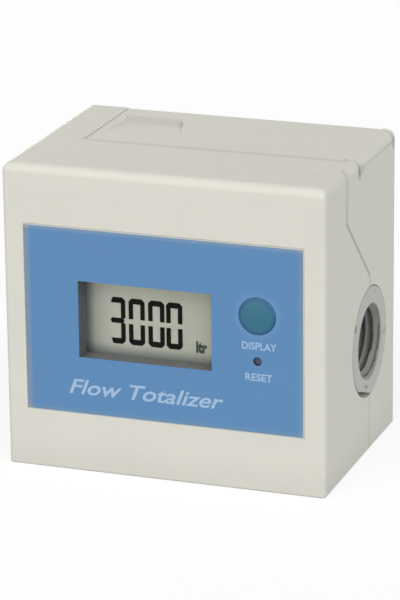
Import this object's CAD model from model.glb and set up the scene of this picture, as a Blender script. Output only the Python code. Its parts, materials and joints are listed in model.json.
"""Looks of a small water meter: its casing, label, display, keys, ports, battery door and what they hold.

Shapes are worked in millimetres and become metres when a piece is finished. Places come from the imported
frame, and the few driving sizes stand as fields of the sub-assemblies.
"""

import json
import logging
import math
from dataclasses import dataclass
from enum import Enum
from typing import Any, Callable, Iterable, Optional, Self, Sequence

import bmesh
import bpy
from mathutils import Matrix, Vector

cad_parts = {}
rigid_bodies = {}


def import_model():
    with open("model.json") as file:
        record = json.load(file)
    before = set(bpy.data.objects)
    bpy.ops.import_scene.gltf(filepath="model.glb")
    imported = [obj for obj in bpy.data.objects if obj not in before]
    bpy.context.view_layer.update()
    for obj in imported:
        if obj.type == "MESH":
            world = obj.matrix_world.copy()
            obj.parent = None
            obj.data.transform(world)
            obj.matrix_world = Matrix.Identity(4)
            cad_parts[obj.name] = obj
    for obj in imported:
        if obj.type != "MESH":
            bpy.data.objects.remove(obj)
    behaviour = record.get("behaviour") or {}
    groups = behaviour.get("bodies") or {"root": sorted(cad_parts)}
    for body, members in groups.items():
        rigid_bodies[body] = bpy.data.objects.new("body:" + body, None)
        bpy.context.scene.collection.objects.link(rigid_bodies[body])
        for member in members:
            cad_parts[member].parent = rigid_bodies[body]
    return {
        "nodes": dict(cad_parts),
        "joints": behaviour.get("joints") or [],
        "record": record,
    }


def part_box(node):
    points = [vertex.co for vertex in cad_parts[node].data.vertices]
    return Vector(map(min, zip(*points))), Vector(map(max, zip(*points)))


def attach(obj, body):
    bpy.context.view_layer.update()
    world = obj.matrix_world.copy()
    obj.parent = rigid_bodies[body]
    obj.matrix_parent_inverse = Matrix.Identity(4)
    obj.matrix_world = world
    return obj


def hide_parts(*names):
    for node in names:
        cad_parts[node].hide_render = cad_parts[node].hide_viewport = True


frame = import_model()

# Lengths are in millimetres. Points nearer than MERGE are one, or COARSE_MERGE where a mesh is less exact.
# Solids reach OVERLAP into each other before they are joined, and a reach of FAR has no end.
MM = 0.001
MERGE = 1e-5
COARSE_MERGE = 1e-4
OVERLAP = 0.1
FAR = 500.0
SMOOTH_ANGLE = math.radians(32)
FLAT_ANGLE = math.radians(0.2)
LOG = logging.getLogger("meter")

Span = tuple[float, float]
Triple = tuple[float, float, float]
Colour = tuple[float, float, float, float]
Place = Callable[[Vector], bool]


def linked(name: str, data: bpy.types.ID) -> bpy.types.Object:
    """Puts a new object into the scene.

    Args:
        name: Its name.
        data: What it shows.

    Returns:
        The object.
    """
    made = bpy.data.objects.new(name, data)
    bpy.context.scene.collection.objects.link(made)
    return made


def evaluated(host: bpy.types.Object) -> bmesh.types.BMesh:
    """Takes the mesh that an object gives once its modifiers have run.

    Args:
        host: The object.

    Returns:
        The mesh.
    """
    graph = bpy.context.evaluated_depsgraph_get()
    result = bpy.data.meshes.new_from_object(host.evaluated_get(graph))
    mesh = bmesh.new()
    mesh.from_mesh(result)
    bpy.data.meshes.remove(result)
    return mesh


class Axis(Enum):
    """The axis that a rod, a prism or a turned shape lies along."""

    X = 0
    Y = 1
    Z = 2

    def laid(self) -> Matrix:
        """Returns the matrix that lays a shape made along Z onto this axis, its other two axes in order."""
        rows = {
            Axis.X: ((0, 0, 1), (1, 0, 0), (0, 1, 0)),
            Axis.Y: ((1, 0, 0), (0, 0, 1), (0, 1, 0)),
            Axis.Z: ((1, 0, 0), (0, 1, 0), (0, 0, 1)),
        }
        return Matrix(rows[self]).to_4x4()


class Join(Enum):
    """How one solid is combined with others."""

    WITH = "UNION"
    WITHOUT = "DIFFERENCE"
    SHARED = "INTERSECT"


@dataclass(frozen=True)
class Extent:
    """A box in millimetres, such as the one that a CAD node fills."""

    low: Vector
    high: Vector

    @classmethod
    def of(cls, *nodes: str) -> Self:
        """Measures CAD nodes.

        Args:
            nodes: Names of the nodes.

        Returns:
            The box that holds them all.
        """
        corners = [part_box(node) for node in nodes]
        low = Vector([min(pair[0][i] for pair in corners) for i in range(3)])
        high = Vector([max(pair[1][i] for pair in corners) for i in range(3)])
        return cls(low / MM, high / MM)

    @property
    def middle(self) -> Vector:
        """The middle of the box."""
        return (self.low + self.high) / 2

    @property
    def size(self) -> Vector:
        """The length of the box along each axis."""
        return self.high - self.low

    def span(self, axis: Axis, grow: float = 0.0) -> Span:
        """Gives the box's reach along one axis.

        Args:
            axis: The axis.
            grow: How much further the span goes at both ends.

        Returns:
            The lowest and the highest place.
        """
        return self.low[axis.value] - grow, self.high[axis.value] + grow


class Solid:
    """A closed solid in millimetres, shaped with mesh operators and combined with others."""

    def __init__(self, mesh: bmesh.types.BMesh) -> None:
        """Keeps the mesh that the solid is made of."""
        self.mesh = mesh

    @classmethod
    def slab(cls, x: Span, y: Span, z: Span) -> Self:
        """Makes a block from its reach along each axis.

        Args:
            x: Its reach along X.
            y: Its reach along Y.
            z: Its reach along Z.

        Returns:
            The block.
        """
        mesh = bmesh.new()
        middle = Vector([sum(span) / 2 for span in (x, y, z)])
        size = Vector([span[1] - span[0] for span in (x, y, z)])
        bmesh.ops.create_cube(mesh, size=1.0, matrix=Matrix.LocRotScale(middle, None, size))
        return cls(mesh)

    @classmethod
    def rod(cls, axis: Axis, span: Span, radius: float, at: Span, tip: Optional[float] = None,
            sides: int = 64) -> Self:
        """Makes a round rod or a cone.

        Args:
            axis: The axis that it lies along.
            span: Its two ends on that axis.
            radius: Its radius at the first end.
            at: Its place on the two other axes, in order.
            tip: Its radius at the second end, if that differs.
            sides: How many sides it has.

        Returns:
            The rod.
        """
        mesh = bmesh.new()
        place = Matrix.Translation((at[0], at[1], sum(span) / 2))
        bmesh.ops.create_cone(mesh, cap_ends=True, segments=sides, radius1=radius,
                              radius2=radius if tip is None else tip, depth=span[1] - span[0],
                              matrix=place)
        return cls(mesh).laid(axis)

    @classmethod
    def prism(cls, axis: Axis, span: Span, outline: Sequence[Span]) -> Self:
        """Extrudes a flat outline.

        Args:
            axis: The axis that it is extruded along.
            span: Where it starts and ends on that axis.
            outline: Its corners, on the two other axes in order.

        Returns:
            The prism.
        """
        mesh = bmesh.new()
        face = mesh.faces.new([mesh.verts.new((a, b, span[0])) for a, b in outline])
        grown = bmesh.ops.extrude_face_region(mesh, geom=[face])
        moved = [item for item in grown["geom"] if isinstance(item, bmesh.types.BMVert)]
        bmesh.ops.translate(mesh, verts=moved, vec=(0, 0, span[1] - span[0]))
        return cls(mesh).laid(axis)

    @classmethod
    def turned(cls, axis: Axis, at: Span, profile: Sequence[Span], steps: int = 64) -> Self:
        """Turns a profile about an axis, as on a lathe.

        Args:
            axis: The axis that it is turned about.
            at: The axis's place on the two other axes, in order.
            profile: Points as place along the axis and radius, from one end to the other.
            steps: How many steps the full turn has.

        Returns:
            The turned solid, closed where the profile meets the axis.
        """
        mesh = bmesh.new()
        points = [mesh.verts.new((radius, 0, along)) for along, radius in profile]
        edges = [mesh.edges.new(pair) for pair in zip(points, points[1:])]
        bmesh.ops.spin(mesh, geom=points + edges, cent=(0, 0, 0), axis=(0, 0, 1), angle=math.tau,
                       steps=steps, use_merge=True)
        bmesh.ops.remove_doubles(mesh, verts=mesh.verts, dist=MERGE)
        bmesh.ops.translate(mesh, verts=mesh.verts, vec=(at[0], at[1], 0))
        return cls(mesh).laid(axis)

    @classmethod
    def of_node(cls, node: str) -> Self:
        """Copies a CAD node's mesh, merged, so that it can be worked on.

        Args:
            node: Name of the CAD node.

        Returns:
            The copy, in millimetres.
        """
        mesh = bmesh.new()
        mesh.from_mesh(frame["nodes"][node].data)
        mesh.transform(Matrix.Scale(1 / MM, 4))
        bmesh.ops.remove_doubles(mesh, verts=mesh.verts, dist=COARSE_MERGE)
        return cls(mesh)

    @classmethod
    def filling(cls, box: Extent, grow: float = 0.0) -> Self:
        """Makes a block that fills a box, grown on every side."""
        return cls.slab(*(box.span(axis, grow) for axis in Axis))

    def laid(self, axis: Axis) -> Self:
        """Lays a shape made along Z onto an axis and points its faces outwards.

        Args:
            axis: The axis.

        Returns:
            The same solid.
        """
        self.mesh.transform(axis.laid())
        self.mesh.normal_update()
        bmesh.ops.recalc_face_normals(self.mesh, faces=self.mesh.faces)
        return self

    def moved(self, x: float = 0.0, y: float = 0.0, z: float = 0.0) -> Self:
        """Moves the solid and returns it."""
        bmesh.ops.translate(self.mesh, verts=self.mesh.verts, vec=(x, y, z))
        return self

    def turned_by(self, degrees: float, axis: Axis, centre: Vector) -> Self:
        """Turns the solid about a line.

        Args:
            degrees: The angle.
            axis: The line's direction.
            centre: A point on the line.

        Returns:
            The same solid.
        """
        turn = Matrix.Rotation(math.radians(degrees), 3, axis.name)
        bmesh.ops.rotate(self.mesh, cent=centre, matrix=turn, verts=self.mesh.verts)
        return self

    def mirrored(self) -> Self:
        """Returns a copy of the solid on the other side of the middle plane, across X."""
        mesh = self.mesh.copy()
        bmesh.ops.scale(mesh, vec=(-1, 1, 1), verts=mesh.verts)
        bmesh.ops.reverse_faces(mesh, faces=mesh.faces)
        return Solid(mesh)

    def added(self, *others: "Solid") -> Self:
        """Adds separate solids that don't touch this one.

        Args:
            others: The solids.

        Returns:
            The same solid, with them.
        """
        for other in others:
            data = bpy.data.meshes.new("added")
            other.mesh.to_mesh(data)
            self.mesh.from_mesh(data)
            bpy.data.meshes.remove(data)
        return self

    def joined(self, how: Join, *others: "Solid") -> Self:
        """Combines the solid with others by a boolean.

        Args:
            how: Whether it is joined with them, cut by them, or kept where all overlap.
            others: The other solids, which aren't changed.

        Returns:
            The same solid.
        """
        tools = bpy.data.collections.new("tools")
        bpy.context.scene.collection.children.link(tools)
        for other in others:
            tool = bpy.data.objects.new("tool", other._data("tool"))
            tools.objects.link(tool)

        def combine(host: bpy.types.Object) -> None:
            """Sets the boolean on the host."""
            step = host.modifiers.new("combine", "BOOLEAN")
            step.operation = how.value
            step.solver = "MANIFOLD"
            step.operand_type = "COLLECTION"
            step.collection = tools

        self._evaluate(combine)
        for tool in list(tools.objects):
            bpy.data.meshes.remove(tool.data)
        bpy.data.collections.remove(tools)
        bmesh.ops.remove_doubles(self.mesh, verts=self.mesh.verts, dist=MERGE)
        bmesh.ops.dissolve_limit(self.mesh, angle_limit=FLAT_ANGLE, verts=self.mesh.verts,
                                 edges=self.mesh.edges)
        return self

    def rounded(self, radius_at: Callable[[Vector], float], segments: int = 6) -> Self:
        """Rounds every edge by a radius of its own, with the corners blended.

        Args:
            radius_at: Gives the radius for an edge from the middle of it.
            segments: How many flats each rounding has.

        Returns:
            The same solid.
        """
        weight = self.mesh.edges.layers.float.new("bevel_weight_edge")
        radii = {edge: radius_at((edge.verts[0].co + edge.verts[1].co) / 2) for edge in self.mesh.edges}
        largest = max(radii.values())
        for edge, radius in radii.items():
            edge[weight] = radius / largest

        def round_off(host: bpy.types.Object) -> None:
            """Sets the weighted bevel on the host."""
            step = host.modifiers.new("round", "BEVEL")
            step.limit_method = "WEIGHT"
            step.width = largest
            step.segments = segments
            step.profile = 0.5
            step.use_clamp_overlap = False

        self._evaluate(round_off)
        self.mesh.edges.layers.float.remove(self.mesh.edges.layers.float["bevel_weight_edge"])
        return self

    def softened(self, width: float, segments: int = 2, where: Optional[Place] = None,
                 angle: float = 35.0) -> Self:
        """Takes the sharpness off edges.

        Args:
            width: Width of the softened edge.
            segments: How many flats it has.
            where: Tells which edges are softened, from the middle of each; all of them if it isn't given.
            angle: The least angle between two faces that counts as an edge, in degrees.

        Returns:
            The same solid.
        """
        least = math.radians(angle)
        edges = [edge for edge in self.mesh.edges
                 if len(edge.link_faces) == 2 and edge.calc_face_angle(0.0) > least
                 and (where is None or where((edge.verts[0].co + edge.verts[1].co) / 2))]
        bmesh.ops.bevel(self.mesh, geom=edges, offset=width, offset_type="OFFSET", segments=segments,
                        profile=0.5, affect="EDGES", clamp_overlap=False, material=-1)
        return self

    def kept_within(self, box: Extent) -> Self:
        """Brings what a bevel has pushed outside a box back onto the box.

        Args:
            box: The box.

        Returns:
            The same solid.
        """
        for vertex in self.mesh.verts:
            bounds = zip(vertex.co, box.low, box.high)
            vertex.co = Vector([min(max(place, low), high) for place, low, high in bounds])
        return self

    def object(self, name: str) -> bpy.types.Object:
        """Finishes the solid as a piece of the scene, in metres, with its flats kept flat.

        Args:
            name: Name of the piece.

        Returns:
            The piece, at the origin.
        """
        self.mesh.transform(Matrix.Scale(MM, 4))
        data = self._data(name)
        data.shade_smooth()
        data.set_sharp_from_angle(angle=SMOOTH_ANGLE)
        piece = linked(name, data)
        step = piece.modifiers.new("flats", "WEIGHTED_NORMAL")
        step.keep_sharp = True
        return piece

    def _data(self, name: str) -> bpy.types.Mesh:
        """Writes the mesh to a new block of mesh data.

        Args:
            name: The block's name.

        Returns:
            The block.
        """
        data = bpy.data.meshes.new(name)
        self.mesh.to_mesh(data)
        return data

    def _evaluate(self, prepare: Callable[[bpy.types.Object], None]) -> None:
        """Replaces the mesh by what modifiers make of it.

        Args:
            prepare: Sets the modifiers on the object that holds the mesh.
        """
        host = linked("work", self._data("work"))
        prepare(host)
        self.mesh.free()
        self.mesh = evaluated(host)
        bpy.data.meshes.remove(host.data)


def lettering(text: str, middle: Span, width: float, height: float, y: Span, bold: float = 0.02,
              slant: float = 0.0) -> Solid:
    """Sets a word in flat type on a surface that faces the front.

    Args:
        text: The word.
        middle: Place of its middle on X and Z.
        width: Its width.
        height: Its height.
        y: Front and rear of the ink.
        bold: How much the strokes grow, as a share of the type's size.
        slant: How much the letters lean.

    Returns:
        The word as thin solids.
    """
    curve = bpy.data.curves.new("type", "FONT")
    curve.body = text
    curve.extrude = 0.5
    curve.offset = bold
    curve.shear = slant
    curve.resolution_u = 4
    host = linked("type", curve)
    mesh = evaluated(host)
    bpy.data.objects.remove(host)
    bpy.data.curves.remove(curve)
    bmesh.ops.remove_doubles(mesh, verts=mesh.verts, dist=MERGE)
    low = Vector([min(vert.co[i] for vert in mesh.verts) for i in range(3)])
    high = Vector([max(vert.co[i] for vert in mesh.verts) for i in range(3)])
    size = high - low
    bmesh.ops.translate(mesh, verts=mesh.verts, vec=-(low + high) / 2)
    bmesh.ops.scale(mesh, vec=(width / size.x, height / size.y, (y[1] - y[0]) / size.z), verts=mesh.verts)
    mesh.transform(Matrix.Rotation(math.radians(90), 4, "X"))
    return Solid(mesh).moved(middle[0], sum(y) / 2, middle[1])


def srgb(red: int, green: int, blue: int) -> Colour:
    """Turns a display colour from 0 to 255 into the shader's linear colour.

    Args:
        red: The red level.
        green: The green level.
        blue: The blue level.

    Returns:
        Red, green, blue and alpha.
    """
    linear = [(level / 255) / 12.92 if level <= 10 else ((level / 255 + 0.055) / 1.055) ** 2.4
              for level in (red, green, blue)]
    return linear[0], linear[1], linear[2], 1.0


def shade(colour: Colour, factor: float) -> Colour:
    """Makes a colour lighter or darker by a factor."""
    return colour[0] * factor, colour[1] * factor, colour[2] * factor, 1.0


def grey(level: float) -> Triple:
    """Returns a tint that has the same level in red, green and blue."""
    return level, level, level


class Signal:
    """A number that varies over a surface: it wraps a socket, and Python's operators add Math nodes."""

    def __init__(self, graph: "NodeGraph", socket: bpy.types.NodeSocket) -> None:
        """Keeps the graph and the socket."""
        self.graph = graph
        self.socket = socket

    def maths(self, operation: str, *values: Any, clamp: bool = False) -> "Signal":
        """Adds one Math node.

        Args:
            operation: The node's operation.
            values: What goes into its sockets, in order.
            clamp: Whether the result is kept from 0 to 1.

        Returns:
            The result.
        """
        settings = {"operation": operation, "use_clamp": clamp}
        node = self.graph.node("ShaderNodeMath", settings, dict(enumerate(values)))
        return Signal(self.graph, node.outputs[0])

    def __add__(self, other: Any) -> "Signal":
        """Adds."""
        return self.maths("ADD", self, other)

    __radd__ = __add__

    def __mul__(self, other: Any) -> "Signal":
        """Multiplies."""
        return self.maths("MULTIPLY", self, other)

    __rmul__ = __mul__

    def __sub__(self, other: Any) -> "Signal":
        """Takes away."""
        return self.maths("SUBTRACT", self, other)

    def __rsub__(self, other: Any) -> "Signal":
        """Is taken away from a number."""
        return self.maths("SUBTRACT", other, self)

    def __truediv__(self, other: Any) -> "Signal":
        """Divides."""
        return self.maths("DIVIDE", self, other)

    def size(self) -> "Signal":
        """Takes the sign away."""
        return self.maths("ABSOLUTE", self)

    def step(self, low: float, high: float) -> "Signal":
        """Rises smoothly from 0 to 1 between two levels.

        Args:
            low: The level where it is 0.
            high: The level where it is 1.

        Returns:
            The smooth step.
        """
        settings = {"interpolation_type": "SMOOTHSTEP"}
        node = self.graph.node("ShaderNodeMapRange", settings, {0: self, 1: low, 2: high})
        return Signal(self.graph, node.outputs[0])


class NodeGraph:
    """Builds the nodes of a material or of the world."""

    def __init__(self, owner: bpy.types.ID) -> None:
        """Starts the owner's nodes afresh."""
        owner.use_nodes = True
        self.tree = owner.node_tree
        self.tree.nodes.clear()

    def node(self, kind: str, settings: Optional[dict[str, Any]] = None,
             sockets: Optional[dict[Any, Any]] = None) -> bpy.types.Node:
        """Adds a node.

        Args:
            kind: The node's type.
            settings: Its settings, set first.
            sockets: What goes into its sockets: values, signals or sockets.

        Returns:
            The node.
        """
        made = self.tree.nodes.new(kind)
        for key, value in (settings or {}).items():
            setattr(made, key, value)
        for key, value in (sockets or {}).items():
            self.feed(made.inputs[key], value)
        return made

    def feed(self, socket: bpy.types.NodeSocket, value: Any) -> None:
        """Links something to a socket, or sets the socket's value.

        Args:
            socket: The socket.
            value: A signal, another socket or a plain value.
        """
        if isinstance(value, Signal):
            value = value.socket
        if isinstance(value, bpy.types.NodeSocket):
            self.tree.links.new(value, socket)
        else:
            socket.default_value = value

    def finish(self, output: str, lit: bpy.types.Node, shown: bpy.types.Node) -> None:
        """Gives the owner one shader as light and another where it is looked at, straight or in a mirror.

        Args:
            output: The type of the output node.
            lit: The shader that lights the meter.
            shown: The shader that the camera, a mirror and a clear sheet show.
        """
        path = self.node("ShaderNodeLightPath")
        seen = Signal(self, path.outputs["Is Camera Ray"])
        for ray in ("Is Glossy Ray", "Is Transmission Ray"):
            seen = seen.maths("MAXIMUM", seen, path.outputs[ray])
        mixed = self.node("ShaderNodeMixShader", sockets={0: seen, 1: lit.outputs[0], 2: shown.outputs[0]})
        self.node(output, sockets={0: mixed.outputs[0]})


class ShaderGraph(NodeGraph):
    """Builds one material's nodes round a Principled shader."""

    def __init__(self, name: str) -> None:
        """Starts the material by its name."""
        self.material = bpy.data.materials.new(name)
        super().__init__(self.material)
        self.surface = self.node("ShaderNodeBsdfPrincipled")
        self.node("ShaderNodeOutputMaterial", sockets={0: self.surface.outputs[0]})
        self.place = self.node("ShaderNodeTexCoord").outputs["Object"]

    def set(self, **values: Any) -> None:
        """Sets the Principled shader's sockets, whose names have their spaces as underscores."""
        for key, value in values.items():
            self.feed(self.surface.inputs[key.replace("_", " ")], value)

    def noise(self, period: float, detail: float = 2.0, stretch: Sequence[float] = (1, 1, 1)) -> Signal:
        """Adds noise in the object's own place.

        Args:
            period: Size of its clouds in millimetres.
            detail: How much finer noise is in it.
            stretch: How much finer it is along each axis.

        Returns:
            The noise, from 0 to 1.
        """
        place = self.node("ShaderNodeMapping", sockets={"Vector": self.place, "Scale": Vector(stretch)})
        node = self.node("ShaderNodeTexNoise", {"noise_dimensions": "3D"},
                         {"Vector": place.outputs[0], "Scale": 1 / (period * MM), "Detail": detail})
        return Signal(self, node.outputs[0])

    def along(self, axis: Axis) -> Signal:
        """Gives the place along one axis, in millimetres."""
        parts = self.node("ShaderNodeSeparateXYZ", sockets={0: self.place})
        return Signal(self, parts.outputs[axis.value]) * (1 / MM)

    def mix(self, first: Any, second: Any, factor: Any, blend: str = "MIX") -> bpy.types.NodeSocket:
        """Mixes two colours.

        Args:
            first: The colour at 0.
            second: The colour at 1.
            factor: How far from the first to the second.
            blend: How the second is laid over the first.

        Returns:
            The mixed colour.
        """
        settings = {"data_type": "RGBA", "clamp_factor": True, "blend_type": blend}
        return self.node("ShaderNodeMix", settings, {0: factor, 6: first, 7: second}).outputs[2]

    def bump(self, height: Signal, depth: float, strength: float = 1.0) -> bpy.types.NodeSocket:
        """Turns a height into a bumped normal.

        Args:
            height: The height, from 0 to 1.
            depth: The real depth of the relief in millimetres.
            strength: How strongly it shows.

        Returns:
            The normal.
        """
        sockets = {"Strength": strength, "Distance": depth * MM, "Height": height}
        return self.node("ShaderNodeBump", sockets=sockets).outputs[0]


@dataclass(frozen=True)
class Patch:
    """A soft-edged stretch of a surface with another tone, such as the shade in a seam or a worn rim.

    The tint multiplies the tone, soft is how wide the edge fades, and share is how much of it shows. A patch
    with a limit shows only where the limit lies too.
    """

    tint: Triple
    soft: float = 0.4
    share: float = 1.0
    limit: Optional["Patch"] = None

    def cover(self, graph: ShaderGraph) -> Signal:
        """Returns how far the patch covers a place, from 0 to 1."""
        raise NotImplementedError

    def over(self, graph: ShaderGraph, tone: Any) -> bpy.types.NodeSocket:
        """Lays the patch over a tone.

        Args:
            graph: The material's graph.
            tone: The tone under it.

        Returns:
            The tone with the patch.
        """
        cover = self.cover(graph) * self.share
        if self.limit is not None:
            cover = cover * self.limit.cover(graph)
        return graph.mix(tone, self.tint + (1.0,), cover, "MULTIPLY")


@dataclass(frozen=True)
class Block(Patch):
    """A patch in the shape of a block, which may be turned and may lie on both sides of the meter."""

    middle: Triple = (0.0, 0.0, 0.0)
    half: Triple = (1.0, 1.0, 1.0)
    turn: float = 0.0
    about: Axis = Axis.X
    paired: bool = False

    def cover(self, graph: ShaderGraph) -> Signal:
        """Returns how far the patch covers a place, from 0 to 1."""
        places = [graph.along(axis) for axis in Axis]
        if self.paired:
            places[0] = places[0].size()
        parts = [place - middle for place, middle in zip(places, self.middle)]
        first, second = (axis.value for axis in Axis if axis is not self.about)
        if self.turn:
            cosine, sine = math.cos(math.radians(self.turn)), math.sin(math.radians(self.turn))
            parts[first], parts[second] = (parts[first] * cosine + parts[second] * sine,
                                           parts[second] * cosine - parts[first] * sine)
        whole: Any = 1.0
        for part, half in zip(parts, self.half):
            if half < FAR:
                whole = (1 - part.size().step(half, half + self.soft)) * whole
        return whole


@dataclass(frozen=True)
class Ring(Patch):
    """A patch between two distances from a line along an axis."""

    axis: Axis = Axis.X
    at: Span = (0.0, 0.0)
    radii: Span = (0.0, 1.0)
    reach: Span = (-FAR, FAR)

    def cover(self, graph: ShaderGraph) -> Signal:
        """Returns how far the patch covers a place, from 0 to 1."""
        others = [axis for axis in Axis if axis is not self.axis]
        first, second = (graph.along(axis) - place for axis, place in zip(others, self.at))
        squares = first * first + second * second
        distance = squares.maths("SQRT", squares)
        inner, outer = self.radii
        cover = 1 - distance.step(outer, outer + self.soft)
        if inner > 0:
            cover = cover * distance.step(inner - self.soft, inner)
        if self.reach[1] < FAR:
            along = graph.along(self.axis)
            cover = cover * along.step(self.reach[0] - self.soft, self.reach[0])
            cover = cover * (1 - along.step(self.reach[1], self.reach[1] + self.soft))
        return cover


@dataclass(frozen=True)
class Finish:
    """A finish, which makes its material once and then gives the same one again."""

    name: str
    colour: Colour
    patches: tuple[Patch, ...] = ()

    def material(self) -> bpy.types.Material:
        """Returns the finish's material, made at the first call."""
        name = f"{self.name}_look"
        found = bpy.data.materials.get(name)
        if found is None:
            graph = ShaderGraph(name)
            self.paint(graph)
            found = graph.material
        return found

    def paint(self, graph: ShaderGraph) -> None:
        """Sets the material's nodes."""
        graph.set(Base_Color=self.patched(graph, self.colour))

    def varied(self, graph: ShaderGraph, low: float, high: float, factor: Signal) -> bpy.types.NodeSocket:
        """Mixes a darker and a lighter shade of the finish's colour."""
        return graph.mix(shade(self.colour, low), shade(self.colour, high), factor)

    def patched(self, graph: ShaderGraph, tone: Any) -> Any:
        """Lays the finish's patches over a tone, in order.

        Args:
            graph: The material's graph.
            tone: The tone under them.

        Returns:
            The tone with the patches.
        """
        for patch in self.patches:
            tone = patch.over(graph, tone)
        return tone


@dataclass(frozen=True)
class MouldedPlastic(Finish):
    """Moulded plastic with a fine spark-eroded texture and a faint unevenness of colour."""

    roughness: float = 0.5
    grain: float = 0.3
    relief: float = 0.012
    cloud: float = 0.03
    specular: float = 0.4

    def paint(self, graph: ShaderGraph) -> None:
        """Sets the material's nodes."""
        texture = graph.noise(self.grain, 3.0)
        clouds = graph.noise(11.0, 2.0)
        specks = graph.noise(1.6, 2.0).step(0.35, 0.65)
        tone = self.varied(graph, 1 - self.cloud, 1 + self.cloud, clouds)
        tone = self.patched(graph, graph.mix(tone, shade(self.colour, 0.96), specks * 0.25))
        graph.set(Base_Color=tone, Roughness=(texture - 0.5) * 0.16 + (clouds - 0.5) * 0.1 + self.roughness,
                  Normal=graph.bump(texture, self.relief, 0.6), Specular_IOR_Level=self.specular)


@dataclass(frozen=True)
class PrintedFilm(Finish):
    """A printed film: even colour with a fine satin emboss."""

    roughness: float = 0.42

    def paint(self, graph: ShaderGraph) -> None:
        """Sets the material's nodes."""
        emboss = graph.noise(0.16, 1.0)
        sweep = graph.noise(26.0, 1.0, (1, 1, 0.6))
        streaks = graph.noise(1.1, 2.0, (0.12, 1, 1))
        tone = self.varied(graph, 0.965, 1.035, sweep)
        tone = self.patched(graph, graph.mix(tone, shade(self.colour, 1.06), (streaks - 0.4) * 0.3))
        graph.set(Base_Color=tone, Roughness=(emboss - 0.5) * 0.12 + self.roughness,
                  Normal=graph.bump(emboss, 0.004, 0.5), Specular_IOR_Level=0.45)


@dataclass(frozen=True)
class Ink(Finish):
    """A thin layer of print, a little uneven in its cover."""

    roughness: float = 0.5
    specular: float = 0.5

    def paint(self, graph: ShaderGraph) -> None:
        """Sets the material's nodes."""
        cover = graph.noise(0.5, 2.0)
        tone = self.varied(graph, 0.93, 1.03, cover)
        graph.set(Base_Color=tone, Roughness=(cover - 0.5) * 0.1 + self.roughness,
                  Specular_IOR_Level=self.specular)


@dataclass(frozen=True)
class ClearSheet(Finish):
    """A thin clear pane that mirrors a little."""

    alpha: float = 0.004

    def paint(self, graph: ShaderGraph) -> None:
        """Sets the material's nodes."""
        haze = graph.noise(5.0, 2.0)
        graph.set(Base_Color=self.colour, Roughness=haze * 0.06 + 0.04, Alpha=haze * 0.012 + self.alpha,
                  Specular_IOR_Level=0.1)


@dataclass(frozen=True)
class ReflectiveGlass(Finish):
    """The display's glass over its reflector: a grey-green sheet with a very fine sparkle."""

    def paint(self, graph: ShaderGraph) -> None:
        """Sets the material's nodes."""
        sparkle = graph.noise(0.08, 1.0)
        sweep = graph.noise(18.0, 1.0)
        tone = self.varied(graph, 0.95, 1.04, sweep)
        tone = self.patched(graph, graph.mix(tone, shade(self.colour, 1.12), sparkle.step(0.5, 0.75) * 0.3))
        graph.set(Base_Color=tone, Roughness=sparkle * 0.15 + 0.3, Specular_IOR_Level=0.4)


@dataclass(frozen=True)
class BareMetal(Finish):
    """Bare metal with drawn or turned streaks."""

    roughness: float = 0.32

    def paint(self, graph: ShaderGraph) -> None:
        """Sets the material's nodes."""
        streaks = graph.noise(0.5, 3.0)
        dull = graph.noise(4.0, 2.0)
        tone = self.varied(graph, 0.85, 1.05, dull)
        graph.set(Base_Color=tone, Metallic=1.0,
                  Roughness=(streaks - 0.5) * 0.2 + (dull - 0.5) * 0.12 + self.roughness,
                  Normal=graph.bump(streaks, 0.004, 0.5))


@dataclass(frozen=True)
class Laminate(Finish):
    """A circuit board under its solder mask, with tracks that show as lighter lines."""

    def paint(self, graph: ShaderGraph) -> None:
        """Sets the material's nodes."""
        weave = graph.noise(0.4, 2.0)
        across = self._tracks(graph, Axis.X, 2.6)
        upward = self._tracks(graph, Axis.Z, 3.4)
        tracks = across.maths("MAXIMUM", across, upward)
        tone = self.varied(graph, 0.9, 1.08, weave)
        tone = graph.mix(tone, shade(self.colour, 1.9), tracks * 0.8)
        graph.set(Base_Color=tone, Roughness=weave * 0.1 + 0.32, Normal=graph.bump(tracks, 0.03, 0.8))

    @staticmethod
    def _tracks(graph: ShaderGraph, axis: Axis, pitch: float) -> Signal:
        """Makes broken lines across one axis.

        Args:
            graph: The material's graph.
            axis: The axis.
            pitch: From one line to the next, in millimetres.

        Returns:
            The lines, from 0 to 1.
        """
        drift = graph.noise(14.0, 0.0).step(0.4, 0.6)
        phase = graph.along(axis) / pitch + drift * 0.5
        wave = phase.maths("PINGPONG", phase, 1.0)
        kept = graph.noise(7.0, 0.0).step(0.42, 0.46)
        return wave.step(0.8, 0.86) * kept


@dataclass(frozen=True)
class Rubber(Finish):
    """Soft rubber, matt and a little dusty."""

    def paint(self, graph: ShaderGraph) -> None:
        """Sets the material's nodes."""
        dust = graph.noise(0.8, 3.0)
        tone = self.varied(graph, 1.0, 1.3, dust)
        graph.set(Base_Color=tone, Roughness=dust * 0.1 + 0.7, Normal=graph.bump(dust, 0.01, 0.5))


# The tint of a seam, and where the axes of the key, the reset pin and the port cross the two other axes.
SEAM = grey(0.84)
KEY_AT, RESET_AT, PORT_AT = (17.55, 32.6), (17.55, 24.3), (5.15, 20.8)
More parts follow.
